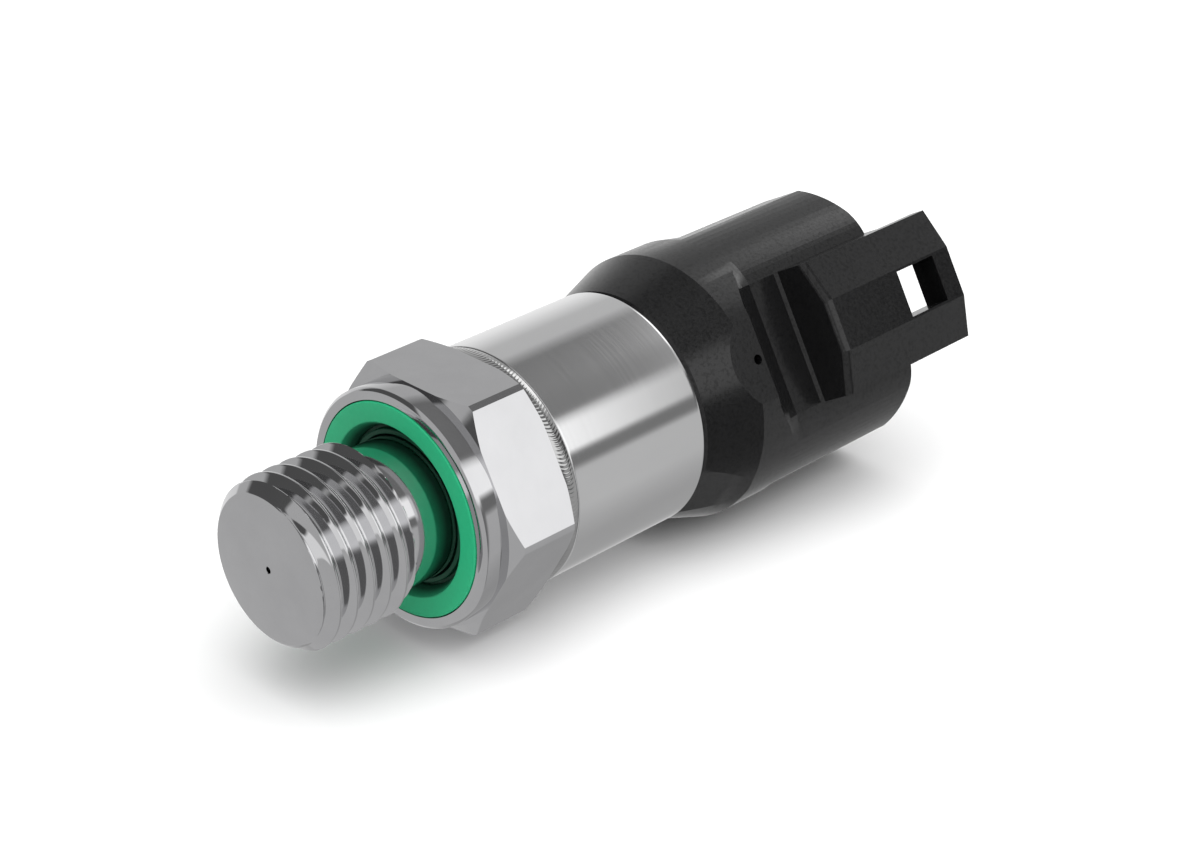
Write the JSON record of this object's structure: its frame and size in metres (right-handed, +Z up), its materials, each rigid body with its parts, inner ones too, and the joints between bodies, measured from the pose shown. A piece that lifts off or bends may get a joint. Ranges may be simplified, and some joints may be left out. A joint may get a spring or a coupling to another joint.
{
  "type": "pressure transmitter",
  "caption": "Pressure transmitter with a threaded process port, hexagon, green profile seal, welded steel tube and a round plug receptacle with a latch hood.",
  "frame": {"origin": "centre of the sealing face of the flange, on the axis of the port", "axes": "+Y runs along the axis from the port tip to the plug receptacle, +Z is up, and the part lies on its side with the latch hood up and to the right"},
  "size_m": [0.0238, 0.0625, 0.0218],
  "materials": {
    "polished_steel": "polished",
    "brushed_steel": "satin",
    "weld_steel": "satin",
    "green_seal": "matte",
    "black_rubber": "matte",
    "black_plastic": "matte",
    "carrier_plastic": "matte",
    "circuit_board": "satin",
    "chip_resin": "matte",
    "capacitor_body": "satin",
    "gauge_film": "gloss",
    "membrane_film": "matte",
    "lead_wire": "satin",
    "tinned_brass": "satin",
    "spring_brass": "satin",
    "solder": "satin"
  },
  "bodies": {
    "root": {"pressure_port": "polished_steel", "profile_seal": "green_seal", "weld_bead": "weld_steel", "body_tube": "brushed_steel", "sensing_cell": "polished_steel", "cell_weld": "weld_steel", "gauge_film": "gauge_film", "board_support": "carrier_plastic", "gauge_board": "circuit_board", "bond_leads": "lead_wire", "link_pins": "tinned_brass", "board_spacer": "carrier_plastic", "signal_board": "circuit_board", "signal_chip": "chip_resin", "capacitors": "capacitor_body", "resistors": "chip_resin", "surge_diode": "chip_resin", "loop_transistor": "chip_resin", "ground_clip": "spring_brass", "housing_seal": "black_rubber", "connector_housing": "black_plastic", "vent_membrane": "membrane_film", "contact_1": "tinned_brass", "contact_2": "tinned_brass", "contact_3": "tinned_brass", "contact_4": "tinned_brass", "pin_solder": "solder"}
  },
  "joints": []
}
